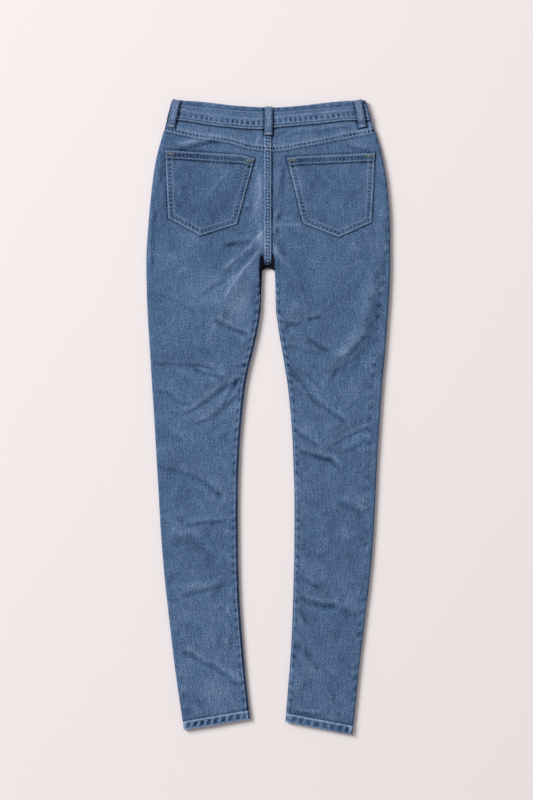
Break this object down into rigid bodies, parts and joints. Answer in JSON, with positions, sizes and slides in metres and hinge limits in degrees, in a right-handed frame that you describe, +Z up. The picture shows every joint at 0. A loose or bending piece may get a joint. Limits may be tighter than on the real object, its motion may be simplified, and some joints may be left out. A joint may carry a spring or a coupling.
{
  "type": "skinny jeans",
  "caption": "Blue denim skinny jeans laid flat with the back up: waistband with belt loops, yoke, patch back pockets and narrow legs with folded hems.",
  "frame": {"origin": "on the surface that the jeans lie on, under the middle of their outline", "axes": "+Y along the legs towards the waist, +X to the right seen from above, +Z up through the back of the jeans"},
  "size_m": [0.391, 1.0172, 0.0113],
  "materials": {
    "denim": "washed mid-blue cotton twill, matt and slightly fuzzy",
    "thread": "pale grey-blue sewing thread",
    "tack_thread": "dull olive bar tack thread",
    "button_metal": "dull antique brass"
  },
  "bodies": {
    "root": {"back_panel_left": "denim", "back_panel_right": "denim", "yoke_left": "denim", "yoke_right": "denim", "front_panel_left": "denim", "front_panel_right": "denim", "waistband": "denim", "back_pocket_left": "denim", "back_pocket_right": "denim", "belt_loop_back_left": "denim", "belt_loop_back_centre": "denim", "belt_loop_back_right": "denim", "belt_loop_front_left": "denim", "belt_loop_front_right": "denim", "waist_button": "button_metal"}
  },
  "joints": []
}
